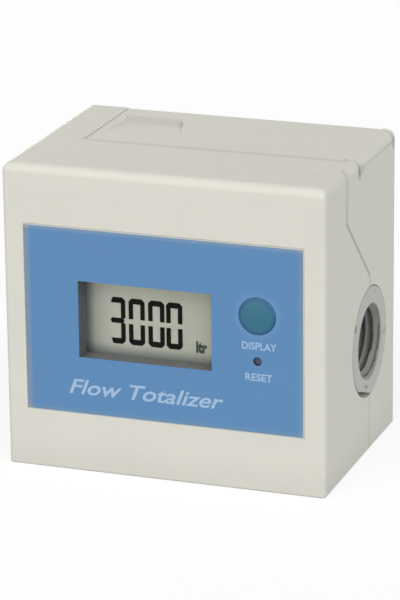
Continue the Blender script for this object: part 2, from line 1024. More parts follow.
# The casing and the door are a little darker along the door's barrel and its front edge.
HINGE_SHADE = (
    Block(SEAM, 1.3, 1.0, middle=(30.0, -0.6, 54.4), half=(1.6, 1.3, 0.3)),
    Block(SEAM, 0.9, 1.0, middle=(30.0, 19.9, 54.3), half=(1.6, 1.0, 0.3)),
    Block(grey(0.87), 0.9, 1.0, middle=(3.0, -2.5, 56.5), half=(25.0, 0.5, 0.6)))
CASING_WHITE = MouldedPlastic("casing_plastic", srgb(222, 219, 207), roughness=0.52, patches=HINGE_SHADE + (
    Block(SEAM, 0.7, 0.8, middle=(30.0, -8.75, 51.5), half=(1.0, 0.5, 4.7), paired=True),
    Block(SEAM, 0.4, 1.0, middle=(30.0, -1.83, 40.05), half=(1.0, 9.7, 0.25), turn=-44.06, paired=True),
    Block(SEAM, 0.5, 0.6, middle=(30.0, 5.2, 16.5), half=(1.0, 0.25, 16.8), paired=True),
    Ring((0.02, 0.025, 0.05), 0.1, axis=Axis.Y, at=RESET_AT, radii=(0.0, 1.2), reach=(-22.0, -14.0)),
    Block(grey(0.92), 7.0, half=(FAR, FAR, 0.3))))
DOOR_WHITE = MouldedPlastic("door_plastic", srgb(222, 219, 207), roughness=0.5, patches=HINGE_SHADE + (
    Block(grey(0.94), 0.5, middle=(-14.0, 14.7, 56.0), half=(5.0, 0.7, 3.0)),
    Block(SEAM, 0.35, middle=(-8.3, 12.9, 56.0), half=(0.1, 1.8, 3.0), turn=27.4, about=Axis.Z)))
LABEL_BLUE = PrintedFilm("label_film", srgb(89, 135, 180), patches=(
    Block((1.85, 1.14, 0.86), 0.6, middle=(-26.0, 0, 28), half=(0.6, FAR, FAR)),
    Block((1.75, 1.2, 0.98), 0.6, middle=(0, 0, 45.4), half=(FAR, FAR, 0.3)),
    Block((1.35, 1.1, 0.95), 0.9, middle=(25.8, 0, 28), half=(0.3, FAR, FAR)),
    Block((1.3, 1.1, 0.92), 0.6, middle=(0, 0, 11.1), half=(FAR, FAR, 0.3)),
    Ring((1.15, 1.1, 1.05), 0.7, axis=Axis.Y, at=KEY_AT, radii=(3.0, 4.0))))
PRINT_WHITE = Ink("label_print", srgb(164, 191, 218))
FRAME_DARK = MouldedPlastic("frame_plastic", srgb(116, 117, 115), roughness=0.45, relief=0.006, patches=(
    Block((0.62, 0.66, 0.74), 0.8, middle=(-16.5, -21.0, 28.7), half=(1.0, 2.2, FAR)),))
PANE_CLEAR = ClearSheet("pane", srgb(230, 235, 235))
GLASS_GREY = ReflectiveGlass("display_glass", srgb(180, 182, 165), patches=(
    Block((1.36, 1.36, 1.38), 2.6, middle=(-3.45, 0, 36.0), half=(10.5, FAR, 0.6)),
    Block((0.4, 0.41, 0.47), 2.0, middle=(-16.9, 0, 28.7), half=(1.0, FAR, FAR)),
    Block((0.82, 0.82, 0.84), 5.0, middle=(-16.9, 0, 28.7), half=(1.5, FAR, FAR)),
    Block((0.42, 0.44, 0.5), 2.6, middle=(0, 0, 21.2), half=(FAR, FAR, 0.2))))
DIGIT_BLACK = Ink("display_ink", srgb(8, 9, 6), roughness=0.8, specular=0.02)
MARK_GREY = Ink("display_mark", srgb(72, 78, 72), roughness=0.6, specular=0.1)
STRIP_PINK = Rubber("strip_rubber", srgb(196, 128, 140))
BOARD_GREEN = Laminate("board", srgb(24, 84, 48))
CHIP_BLACK = MouldedPlastic("component_black", srgb(38, 39, 41), roughness=0.45, grain=0.12)
CAN_METAL = BareMetal("can_metal", srgb(196, 196, 198))
KEY_TEAL = MouldedPlastic(
    "key_plastic", srgb(48, 108, 131), roughness=0.38, grain=0.2, relief=0.005, patches=(
        Ring((0.66, 0.74, 0.98), axis=Axis.Y, at=KEY_AT, radii=(3.0, 9.0)),
        Ring((1.2, 1.1, 1.03), 1.2, 0.7, axis=Axis.Y, at=(16.6, 33.9), radii=(0.0, 0.6))))
PLUNGER_GREY = MouldedPlastic("plunger_plastic", srgb(84, 90, 110), roughness=0.5, specular=0.2)
BORE = Ring((0.52, 0.52, 0.53), 0.5, axis=Axis.X, at=PORT_AT, radii=(0.0, 6.75))
BODY_GREY = MouldedPlastic("body_plastic", srgb(189, 189, 181), roughness=0.46, grain=0.5, patches=(
    BORE,
    Block((0.82, 0.82, 0.79), 0.5, 1.0, BORE, middle=(30.0, 5.0, 21.0), half=(1.25, FAR, FAR), paired=True),
    Block((0.6, 0.6, 0.58), 3.5, 1.0, BORE, middle=(28.0, 3.0, 27.0), half=(4.0, 2.5, 1.5), paired=True),
    Block((1.12, 1.12, 1.16), 3.0, 1.0, BORE, middle=(30.0, 8.5, 14.5), half=(5.0, 2.0, 1.0), paired=True),
    Block(grey(0.75), middle=(30.0, -3.6, 25.8), half=(1.2, 0.9, 0.15), turn=-31.0, paired=True),
    Block(grey(0.75), middle=(30.0, 14.2, 19.9), half=(1.2, 1.5, 0.12), turn=-5.0, paired=True)))
SEAL_BLACK = Rubber("seal_rubber", srgb(30, 30, 32))
STEEL = BareMetal("steel", srgb(186, 186, 184))
STONE_RED = MouldedPlastic("bearing_stone", srgb(150, 36, 48), roughness=0.15, relief=0.002)
ROTOR_WHITE = MouldedPlastic("rotor_plastic", srgb(216, 218, 218), roughness=0.4)
MAGNET_GREY = BareMetal("magnet", srgb(120, 120, 124), roughness=0.4)
CELL_BLACK = PrintedFilm("cell_wrap", srgb(40, 42, 46), roughness=0.28)
CELL_COPPER = BareMetal("cell_band", srgb(190, 124, 84), roughness=0.3)
LEAD_RED = Rubber("lead_red", srgb(168, 32, 30))
LEAD_BLACK = Rubber("lead_black", srgb(26, 26, 28))


def present(solid: Solid, name: str, finish: Finish, replaces: Optional[str] = None, body: str = "casing") -> None:
    """Puts a finished piece into the scene.

    Args:
        solid: Its shape.
        name: Its name.
        finish: Its finish.
        replaces: The CAD node that it stands for, if any.
        body: The body that it moves with.
    """
    piece = solid.object(name)
    piece.data.materials.append(finish.material())
    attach(piece, body)
    if replaces:
        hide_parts(replaces)
    LOG.info("%s: %d faces on %s", name, len(piece.data.polygons), body)


def dress(finish: Finish, *nodes: str) -> None:
    """Gives CAD nodes, whose shapes stay, their finish.

    Args:
        finish: The finish.
        nodes: Names of the nodes.
    """
    for node in nodes:
        data = frame["nodes"][node].data
        data.materials.clear()
        data.materials.append(finish.material())
        LOG.info("%s: kept, %s", node, finish.name)


@dataclass
class Casing:
    """The two casing halves with their screws.

    Names end in _r for a radius, _d for a distance behind the front, _l for a length, _h for a height, and
    _x, _y or _z for a place.
    """

    wall: float = 1.8
    brow_r: float = 1.7
    cheek_r: float = 0.9
    rear_r: float = 1.6
    foot_r: float = 0.45
    soft: float = 0.16
    skin: float = 0.32
    seam_gap: float = 0.15
    seam_top_d: float = 12.4
    knee_z: float = 46.8
    elbow_z: float = 33.3
    window_half: Span = (12.5, 7.1)
    window_ledge: float = 1.1
    label_play: float = 0.12
    key_hole_r: float = 3.5
    reset_hole_r: float = 0.95
    reset_hole_l: float = 4.2
    reset_guide_r: float = 1.9
    reset_guide_l: float = 3.2
    post_x: float = 24.5
    post_z: Span = (5.5, 36.8)
    post_meet_y: float = -2.0
    front_post_r: float = 2.5
    rear_post_r: float = 3.5
    pilot_r: float = 1.1
    pilot_l: float = 7.0
    shank_r: float = 1.35
    well_r: float = 2.5
    well_y: float = 8.0
    board_post_x: float = 19.0
    board_post_z: Span = (12.5, 43.5)
    board_post_r: float = 2.2
    board_pilot_r: float = 0.95
    board_pilot_l: float = 5.5
    boss_hole_r: float = 10.3
    collar_hole_r: float = 11.5
    lug: float = 0.9
    lug_l: float = 0.8
    lug_bite: float = 0.3
    front_lug_turn: float = -30.0
    rib_x: float = 21.5
    rib_half: float = 0.9
    rib_reach: Span = (3.0, 9.0)
    bay_d: float = 19.5
    bay_wall: float = 1.5
    bay_floor: float = 1.4
    bay_play: float = 0.4
    cell_gap: float = 0.1
    latch_ledge: Triple = (0.2, 2.0, 1.6)
    door_gap: float = 0.15
    door_bite: float = 0.02
    knuckle_d: float = 19.4
    knuckle_l: float = 2.8
    knuckle_h: float = 4.5
    barrel_d: float = 20.6
    barrel_back: float = 2.5
    barrel_play: float = 0.05
    barrel_zone: Triple = (0.8, 0.5, -1.05)
    sill_x: float = 1.0
    sill_h: float = 0.2
    pin_r: float = 0.6
    pin_ends: Span = (0.2, 0.6)
    reach: float = 1.0

    def __post_init__(self) -> None:
        """Reads the places of what the casing holds from the frame."""
        self.box = Extent.of("front_cover", "rear_cover")
        self.label = Extent.of("front_label")
        self.door = Extent.of("battery_door")
        self.cells = Extent.of("battery_cells")
        self.board = Extent.of("circuit_board")
        self.frame = Extent.of("lcd_frame")
        self.glass = Extent.of("lcd_panel")
        self.key = Extent.of("display_key").middle
        self.reset = Extent.of("reset_plunger").middle
        port = next(m for m in frame["record"]["mounts"] if m["name"] == "outlet_port")
        self.port = (port["pos_m"][1] / MM, port["pos_m"][2] / MM)
        hinge = next(j for j in frame["joints"] if j["name"] == "door_hinge")
        self.hinge = (hinge["pos_m"][0] / MM, hinge["pos_m"][2] / MM)
        half = Vector((self.window_half[0], 0, self.window_half[1]))
        middle = Vector((self.glass.middle.x, 0, self.glass.middle.z))
        self.window = Extent(middle - half, middle + half)
        self.posts = [(x, z) for x in (-self.post_x, self.post_x) for z in self.post_z]
        board_x = self.board_post_x
        self.board_posts = [(x, z) for x in (-board_x, board_x) for z in self.board_post_z]
        self.barrel = (self.box.low.y + self.barrel_d, self.box.high.y - self.barrel_back)
        self.latch_y = self.cells.middle.y

    def outside(self) -> Solid:
        """Returns the rounded block that both halves are cut from."""
        box = self.box

        def radius(middle: Vector) -> float:
            """Gives the rounding of the edge at a place."""
            if middle.z < box.low.z + OVERLAP:
                return self.foot_r
            if middle.y < box.low.y + OVERLAP:
                return self.brow_r if middle.z > box.high.z - OVERLAP else self.cheek_r
            return self.rear_r

        return Solid.filling(box).rounded(radius)

    def zone(self, front: bool) -> Solid:
        """Makes the space on one side of the parting line.

        Args:
            front: Whether it is the space in front of the line.

        Returns:
            The space, as a prism across the whole width.
        """
        y, z = self.box.span(Axis.Y, self.reach), self.box.span(Axis.Z, self.reach)
        top_y, low_y = self.box.low.y + self.seam_top_d, self.port[0]
        if not front:
            top_y, low_y = top_y + self.seam_gap, low_y + self.seam_gap
        far = y[0] if front else y[1]
        line = [(far, z[0]), (low_y, z[0]), (low_y, self.elbow_z), (top_y, self.knee_z), (top_y, z[1]),
                (far, z[1])]
        return Solid.prism(Axis.X, self.box.span(Axis.X, self.reach), line)

    @staticmethod
    def rods(places: Iterable[Span], y: Span, radius: float) -> list[Solid]:
        """Makes a rod along Y at each place on X and Z."""
        return [Solid.rod(Axis.Y, y, radius, at) for at in places]

    def outer_edge(self, middle: Vector) -> bool:
        """Tells whether a place lies on the outside of the casing.

        Args:
            middle: The place.

        Returns:
            Whether it does.
        """
        box, skin = self.box, self.skin
        return (abs(middle.x) > box.high.x - skin or middle.y < box.low.y + skin
                or middle.y > box.high.y - skin or middle.z > box.high.z - skin or middle.z < skin)

    def by_barrel(self, middle: Vector) -> bool:
        """Tells whether a place lies at the side wall's thin edge along the door's barrel."""
        start = Vector((self.hinge[0], self.door.low.y, self.hinge[1])) + Vector(self.barrel_zone)
        return all(place > least for place, least in zip(middle, start))

    def cavity(self) -> Solid:
        """Returns the hollow inside the casing."""
        return Solid.filling(self.box, -self.wall)

    def lugs(self, side: int) -> list[Solid]:
        """Makes the two lugs that stop the flow body from turning, on one half.

        Args:
            side: -1 for the front half, 1 for the rear.

        Returns:
            The lugs.
        """
        y, z = self.port
        half, place = self.lug / 2, y + side * (self.boss_hole_r - self.lug_bite)
        turn = self.front_lug_turn if side < 0 else 0.0
        outer = self.box.high.x - self.wall + self.lug_l / 2
        lugs = [Solid.slab((x - self.lug_l / 2, x + self.lug_l / 2), (place - half, place + half),
                           (z - half, z + half)) for x in (-outer, outer)]
        return [lug.turned_by(turn, Axis.X, Vector((0, y, z))) for lug in lugs]

    def front_cover(self) -> Solid:
        """Returns the front half, with its label recess, window, key holes and posts."""
        front, board_y = self.box.low.y, self.board.low.y
        before, inside = front - self.reach, front + self.wall
        through = (before, inside + OVERLAP)
        key, reset = (self.key.x, self.key.z), (self.reset.x, self.reset.z)
        whole = self.outside().joined(Join.SHARED, self.zone(front=True))
        whole.joined(Join.WITHOUT, self.cavity())
        whole.joined(
            Join.WITH, *self.rods(self.posts, (inside - OVERLAP, self.post_meet_y), self.front_post_r),
            *self.rods(self.board_posts, (inside - OVERLAP, board_y), self.board_post_r),
            Solid.rod(Axis.Y, (inside - OVERLAP, front + self.reset_guide_l), self.reset_guide_r, reset))
        whole.joined(
            Join.WITHOUT,
            Solid.slab(self.label.span(Axis.X, self.label_play), (before, self.label.high.y),
                       self.label.span(Axis.Z, self.label_play)),
            Solid.slab(self.window.span(Axis.X, self.window_ledge), through,
                       self.window.span(Axis.Z, self.window_ledge)),
            Solid.rod(Axis.Y, through, self.key_hole_r, key),
            Solid.rod(Axis.Y, (before, front + self.reset_hole_l), self.reset_hole_r, reset, sides=32),
            Solid.rod(Axis.X, self.box.span(Axis.X, self.reach), self.boss_hole_r, self.port, sides=96),
            *self.rods(self.posts, (self.post_meet_y - self.pilot_l, self.post_meet_y + self.reach),
                       self.pilot_r),
            *self.rods(self.board_posts, (board_y - self.board_pilot_l, board_y + self.reach),
                       self.board_pilot_r))
        whole.softened(self.soft, where=self.outer_edge)
        return whole.kept_within(self.box).joined(Join.WITH, *self.lugs(-1))

    def rear_cover(self) -> Solid:
        """Returns the rear half, with the battery compartment, the hinge's knuckles and the screw wells."""
        box, back, door_z = self.box, self.box.high.y, self.hinge[1]
        inside_y, inside_z = back - self.wall, box.high.z - self.wall
        beyond = (box.high.x + self.reach, back + self.reach, box.high.z + self.reach)
        knuckle_y = box.low.y + self.knuckle_d
        barrel_r = self.door.high.z - door_z
        knuckle_r = barrel_r + self.door_gap
        knuckle_spans = ((knuckle_y - self.knuckle_l, knuckle_y), (inside_y, back))
        whole = self.outside().joined(Join.SHARED, self.zone(front=False))
        whole.joined(Join.WITHOUT, self.cavity())
        whole.joined(Join.WITH, *self.bay(knuckle_y - self.knuckle_l, inside_y, inside_z))
        whole.joined(
            Join.WITHOUT,
            Solid.slab((self.door.low.x - self.door_gap, beyond[0]),
                       (self.door.low.y - self.door_gap, beyond[1]), (door_z - self.door_bite, beyond[2])),
            Solid.rod(Axis.Y, (knuckle_y, inside_y), barrel_r + self.barrel_play, self.hinge),
            Solid.slab((self.hinge[0] + self.sill_x, beyond[0]), (knuckle_y, inside_y),
                       (door_z - self.sill_h, beyond[2])),
            *[Solid.slab((self.hinge[0], beyond[0]), span, (door_z - knuckle_r, beyond[2]))
              for span in ((knuckle_y, self.barrel[0]), (self.barrel[1], inside_y))])
        whole.joined(
            Join.WITH, *[self.knuckle(span, knuckle_r) for span in knuckle_spans],
            *self.rods(self.posts, (self.post_meet_y, inside_y + OVERLAP), self.rear_post_r),
            *[Solid.slab((x - self.rib_half, x + self.rib_half),
                         (self.port[0] + self.rib_reach[0], inside_y + OVERLAP),
                         (self.wall - OVERLAP, self.port[1] + self.rib_reach[1]))
              for x in (-self.rib_x, self.rib_x)])
        whole.joined(
            Join.WITHOUT,
            Solid.rod(Axis.X, box.span(Axis.X, self.reach), self.boss_hole_r, self.port, sides=96),
            Solid.rod(Axis.X, box.span(Axis.X, -self.wall), self.collar_hole_r, self.port, sides=96),
            *self.rods(self.posts, (self.post_meet_y - self.reach, self.well_y + self.reach / 2),
                       self.shank_r),
            *self.rods(self.posts, (self.well_y, beyond[1]), self.well_r),
            Solid.rod(Axis.Y, (knuckle_y - self.knuckle_l + self.pin_ends[0], back - self.pin_ends[1]),
                      self.pin_r, self.hinge, sides=24))
        whole.softened(self.soft, where=lambda middle: self.outer_edge(middle) and not self.by_barrel(middle))
        return whole.kept_within(box).joined(Join.WITH, *self.lugs(1))

    def bay(self, corner_y: float, inside_y: float, inside_z: float) -> list[Solid]:
        """Makes the walls of the battery compartment, the filling by the hinge and the latch's ledge.

        Args:
            corner_y: Where the filling by the hinge starts.
            inside_y: The inner face of the rear wall.
            inside_z: The inner face of the top wall.

        Returns:
            The walls.
        """
        wall, bay_y = self.bay_wall, self.box.low.y + self.bay_d
        left, right = self.cells.low.x - self.bay_play, self.cells.high.x + self.bay_play
        floor_z = self.cells.low.z - self.cell_gap
        y, z = (bay_y - wall, inside_y + OVERLAP), (floor_z - self.bay_floor, inside_z + OVERLAP)
        ledge_gap, ledge_half, ledge_h = self.latch_ledge
        return [
            Solid.slab((left - wall, right + wall), y, (z[0], floor_z)),
            Solid.slab((left - wall, right + wall), (y[0], bay_y), z),
            Solid.slab((left - wall, left), y, z),
            Solid.slab((right, right + wall), y, z),
            Solid.slab((right + wall - OVERLAP, self.box.high.x - self.wall + OVERLAP), (corner_y, y[1]),
                       (inside_z - self.knuckle_h, z[1])),
            Solid.slab((left - OVERLAP, self.door.low.x - ledge_gap),
                       (self.latch_y - ledge_half, self.latch_y + ledge_half), (inside_z - ledge_h, z[1]))]

    def knuckle(self, y: Span, radius: float) -> Solid:
        """Makes one corner of the casing that holds an end of the hinge pin.

        Args:
            y: Its reach along the pin.
            radius: The radius of its round side.

        Returns:
            The knuckle, cut to the casing's own outside.
        """
        x, z = self.hinge
        low = self.box.high.z - self.wall - self.knuckle_h
        lump = Solid.rod(Axis.Y, y, radius, self.hinge)
        lump.joined(Join.WITH, Solid.slab((x - radius, self.box.high.x), y, (low, z)),
                    Solid.slab((x, self.box.high.x), y, (low, self.box.high.z)))
        return lump.joined(Join.SHARED, self.outside())

    def build(self) -> None:
        """Builds both halves and dresses the screws."""
        present(self.front_cover(), "front_shell", CASING_WHITE, "front_cover")
        present(self.rear_cover(), "rear_shell", CASING_WHITE, "rear_cover")
        dress(STEEL, "casing_screws")


@dataclass
class BatteryDoor:
    """The door over the battery compartment, with its barrel, scoop and latch."""

    casing: Casing
    gap: float = 0.15
    notch_gap: float = 0.25
    latch_inset: float = 0.25
    latch_half: float = 1.0
    latch_l: float = 1.0
    latch_h: float = 1.8
    hook_r: float = 0.3
    pin_hole_r: float = 0.65
    edge_h: float = 0.5
    scoop_depth: float = 0.7
    scoop_inset: float = 1.7
    scoop_front_d: float = 25.2
    scoop_back: float = 5.8
    scoop_rise: float = 2.2
    scoop_right: Span = (-4.9, -9.3)
    soft: float = 0.14

    def shape(self) -> Solid:
        """Returns the door."""
        box, casing, reach = Extent.of("battery_door"), self.casing, self.casing.reach
        hinge_x, low = casing.hinge
        thick = box.high.z - low
        start, end = casing.barrel
        plate = casing.outside().moved(z=-self.gap)
        plate.joined(Join.SHARED, Solid.slab((box.low.x, hinge_x), box.span(Axis.Y), (low, box.high.z)))
        latch_x = box.low.x + self.latch_inset
        latch_y = (casing.latch_y - self.latch_half, casing.latch_y + self.latch_half)
        plate.joined(
            Join.WITH, Solid.rod(Axis.Y, casing.barrel, thick, casing.hinge),
            Solid.slab((latch_x, latch_x + self.latch_l), latch_y, (low - self.latch_h, low + OVERLAP)),
            Solid.rod(Axis.Y, latch_y, self.hook_r, (latch_x, low - self.latch_h + self.hook_r), sides=24))
        notch_r = thick + self.notch_gap
        plate.joined(
            Join.WITHOUT,
            Solid.rod(Axis.Y, (start - reach, end + reach), self.pin_hole_r, casing.hinge, sides=32),
            Solid.rod(Axis.Y, (box.low.y - reach, start), notch_r, casing.hinge),
            Solid.rod(Axis.Y, (end, box.high.y + reach), notch_r, casing.hinge),
            self.scoop(box))
        return plate.softened(self.soft, where=lambda middle: middle.z > low + self.edge_h)

    def scoop(self, box: Extent) -> Solid:
        """Makes the wedge that the fingernail scoop takes out of the door.

        Args:
            box: The door's box.

        Returns:
            The wedge.
        """
        front, rear = self.casing.box.low.y + self.scoop_front_d, box.high.y - self.scoop_back
        left = box.low.x + self.scoop_inset - self.gap
        top, above = box.high.z, box.high.z + 2 * self.casing.reach
        plan = [(left, front), (self.scoop_right[0], front), (self.scoop_right[1], rear), (left, rear)]
        side = [(front, top), (rear - self.scoop_rise, top - self.scoop_depth), (rear, top), (rear, above),
                (front, above)]
        wedge = Solid.prism(Axis.Z, (box.low.z, above), plan)
        return wedge.joined(Join.SHARED, Solid.prism(Axis.X, box.span(Axis.X), side))

    def build(self) -> None:
        """Builds the door and dresses its pin."""
        present(self.shape(), "door_shell", DOOR_WHITE, "battery_door", body="door")
        dress(STEEL, "door_hinge_pin")


@dataclass
class FrontLabel:
    """The printed film on the front, with its captions and a plain title.

    The trim is how much the film is smaller than its CAD box at each side, and at the foot and the top. A
    caption is given by its shift from the middle of what it names, its height above the base, and its width.
    """

    casing: Casing
    sink: float = 0.05
    ink: float = 0.02
    trim: tuple[Span, Span] = ((-0.02, 0.17), (0.02, 0.15))
    key_hole_r: float = 3.43
    reset_hole_r: float = 0.8
    display_caption: Triple = (0.33, 27.1, 6.4)
    reset_caption: Triple = (0.25, 21.35, 5.0)
    caption_h: float = 1.4
    title_x: Span = (-18.0, 11.2)
    title_z: Span = (14.6, 17.4)
    title_bold: float = 0.014
    title_slant: float = 0.3

    def film(self) -> Solid:
        """Returns the film, with holes for the window, the key and the reset pin."""
        label, casing = self.casing.label, self.casing
        through = label.span(Axis.Y, casing.reach)
        (left, right), (low, high) = self.trim
        sheet = Solid.slab((label.low.x + left, label.high.x - right),
                           (label.low.y + self.sink, label.high.y), (label.low.z + low, label.high.z - high))
        return sheet.joined(
            Join.WITHOUT, Solid.slab(casing.window.span(Axis.X), through, casing.window.span(Axis.Z)),
            Solid.rod(Axis.Y, through, self.key_hole_r, (casing.key.x, casing.key.z)),
            Solid.rod(Axis.Y, through, self.reset_hole_r, (casing.reset.x, casing.reset.z), sides=32))

    @property
    def layer(self) -> Span:
        """Front and rear of the print."""
        front = self.casing.label.low.y + self.sink
        return front - self.ink, front

    def build(self) -> None:
        """Builds the film and its print."""
        (left, right), (low, high) = self.title_x, self.title_z
        present(self.film(), "label_film", LABEL_BLUE, "front_label")
        for word, name, middle, (shift, z, width) in (
                ("DISPLAY", "display_caption", self.casing.key, self.display_caption),
                ("RESET", "reset_caption", self.casing.reset, self.reset_caption)):
            caption = lettering(word, (middle.x + shift, z), width, self.caption_h, self.layer)
            present(caption, name, PRINT_WHITE)
        title = lettering("Flow Totalizer", ((left + right) / 2, (low + high) / 2), right - left, high - low,
                          self.layer, self.title_bold, self.title_slant)
        present(title, "title", PRINT_WHITE)


@dataclass
class Display:
    """The dark frame, the pane, the display with its reading, and the strips that connect it."""

    casing: Casing
    reading: str = "3000"
    digit_x: tuple[float, ...] = (-11.43, -7.85, -4.16, -0.76)
    digit_w: tuple[float, ...] = (2.95, 3.05, 3.07, 3.05)
    digit_z: Span = (23.53, 32.23)
    stroke: float = 0.85
    bar: float = 1.06
    corner: float = 0.58
    waist: float = 0.46
    mid_half: float = 0.4876
    tuck: float = 0.2
    nib: float = 0.1
    chamfer: float = 0.4
    ink: float = 0.03
    unit_at: Span = (5.85, 24.4)
    unit_size: Span = (2.1, 2.2)
    unit_bold: float = 0.06
    nose_wall: float = 1.0
    play: float = 0.1
    glass_play: float = 0.02
    glass_step: float = 1.1
    soft: float = 0.1
    glass_soft: float = 0.08
    pane_soft: float = 0.05

    SEGMENTS = {"0": "abcdef", "1": "bc", "2": "abged", "3": "abcdg", "4": "fgbc", "5": "afgcd",
                "6": "afgcde", "7": "abc", "8": "abcdefg", "9": "abcdfg"}

    def bezel(self) -> Solid:
        """Returns the frame: a box behind the cover with a nose that fills the window."""
        box, window = self.casing.frame, self.casing.window
        glass, pane, reach = self.casing.glass, Extent.of("window_pane"), self.casing.reach
        front = self.casing.box.low.y + self.casing.wall
        body = Solid.slab(box.span(Axis.X), (front, box.high.y), box.span(Axis.Z))
        body.joined(Join.WITH, Solid.slab(window.span(Axis.X, self.nose_wall), (box.low.y, front + OVERLAP),
                                          window.span(Axis.Z, self.nose_wall)))
        body.joined(Join.WITHOUT,
                    Solid.slab(window.span(Axis.X), (box.low.y - reach, pane.low.y + OVERLAP),
                               window.span(Axis.Z)),
                    Solid.slab(glass.span(Axis.X, self.play), (pane.low.y, box.high.y + reach),
                               glass.span(Axis.Z, self.play)))
        return body.softened(self.soft, where=lambda middle: middle.y < box.low.y + OVERLAP)

    def glass(self) -> Solid:
        """Returns the display's two layers of glass."""
        box = self.casing.glass
        x = box.span(Axis.X, -self.glass_play)
        front = Solid.slab(x, (box.low.y, box.middle.y), box.span(Axis.Z, -self.glass_step))
        rear = Solid.slab(x, (box.middle.y, box.high.y), box.span(Axis.Z, -self.glass_play))
        return front.softened(self.glass_soft).added(rear.softened(self.glass_soft))

    def bars(self, x: float, width: float) -> dict[str, list[Span]]:
        """Gives the outlines of a digit's seven bars.

        Args:
            x: The digit's left edge.
            width: Its width.

        Returns:
            Each bar's corners on X and Z, by its letter.
        """
        (low, high), t, h, cut = self.digit_z, self.stroke, self.bar, self.corner
        right, mid = x + width, (low + high) / 2

        def upright(edge: float, way: int, end: float, near: float) -> list[Span]:
            """Outlines an upright bar whose outer corner at its far end is cut.

            Args:
                edge: Its outer edge on X.
                way: The way along X that its width goes.
                end: Its far end.
                near: Its other end.

            Returns:
                Its corners.
            """
            up = 1 if end > near else -1
            return [(edge, near), (edge, end - up * cut), (edge + way * cut, end), (edge + way * t, end),
                    (edge + way * t, near)]

        def across(end: float, inner: float) -> list[Span]:
            """Outlines the bar at an end of the digit."""
            return [(x + cut, end), (right - cut, end), (right - self.tuck, inner), (x + self.tuck, inner)]

        left_c, right_c = x + self.chamfer, right - self.chamfer
        high_g, low_g = mid + self.mid_half, mid - self.mid_half
        return {
            "a": across(high, high - h),
            "d": across(low, low + h),
            "g": [(x + self.nib, mid), (left_c, high_g), (right_c, high_g), (right - self.tuck, mid),
                  (right_c, low_g), (left_c, low_g)],
            "b": upright(right, -1, high, mid + self.waist),
            "c": upright(right, -1, low, mid - self.waist),
            "f": upright(x, 1, high, mid + self.waist),
            "e": upright(x, 1, low, mid - self.waist),
        }

    @property
    def layer(self) -> Span:
        """Front and rear of the digits."""
        front = self.casing.glass.low.y
        return front - self.ink, front

    def digits(self) -> Solid:
        """Returns the bars of the reading."""
        parts = []
        for digit, x, width in zip(self.reading, self.digit_x, self.digit_w):
            bars = self.bars(x, width)
            first, *rest = [Solid.prism(Axis.Y, self.layer, bars[name]) for name in self.SEGMENTS[digit]]
            parts.append(first.joined(Join.WITH, *rest))
        return parts[0].added(*parts[1:])

    def build(self) -> None:
        """Builds the display's pieces."""
        pane = Extent.of("window_pane")
        sheet = Solid.slab(pane.span(Axis.X), pane.span(Axis.Y, -self.glass_play), pane.span(Axis.Z))
        present(self.bezel(), "display_frame", FRAME_DARK, "lcd_frame")
        present(sheet.softened(self.pane_soft), "display_pane", PANE_CLEAR, "window_pane")
        present(self.glass(), "display_panel", GLASS_GREY, "lcd_panel")
        present(self.digits(), "display_reading", DIGIT_BLACK)
        unit = lettering("ltr", self.unit_at, *self.unit_size, self.layer, self.unit_bold)
        present(unit, "display_unit", MARK_GREY)
        dress(STRIP_PINK, "contact_strips")


@dataclass
class Keys:
    """The display key, the reset pin's plunger, and the switches behind them."""

    casing: Casing
    radius: float = 3.4
    rim: float = 0.35
    dome: float = 0.25
    flange: float = 0.6
    flange_r: float = 4.0
    stem_r: float = 1.5
    steps: int = 6

    def cap(self) -> Solid:
        """Returns the key's cap: a shallow dome with a round rim, a flange and a stem."""
        box = Extent.of("display_key")
        y, radius, steps = box.low.y, self.radius, self.steps
        seat = self.casing.box.low.y + self.casing.wall + OVERLAP
        flat_r, rear = radius - self.rim, seat + self.flange
        crown = [(y + self.dome * (step / steps) ** 2, flat_r * step / steps) for step in range(steps + 1)]
        turn = [(y + self.dome + self.rim * (1 - math.cos(angle)), flat_r + self.rim * math.sin(angle))
                for angle in (math.pi / 2 * step / steps for step in range(1, steps + 1))]
        rest = [(seat, radius), (seat, self.flange_r), (rear, self.flange_r), (rear, self.stem_r),
                (box.high.y, self.stem_r), (box.high.y, 0.0)]
        return Solid.turned(Axis.Y, (box.middle.x, box.middle.z), crown + turn + rest, 72)

    def build(self) -> None:
        """Builds the cap and dresses the switches and plungers."""
        present(self.cap(), "key_cap", KEY_TEAL, "display_key", body="display_key")
        dress(PLUNGER_GREY, "display_plunger", "reset_plunger")
        dress(CHIP_BLACK, "display_switch", "reset_switch")


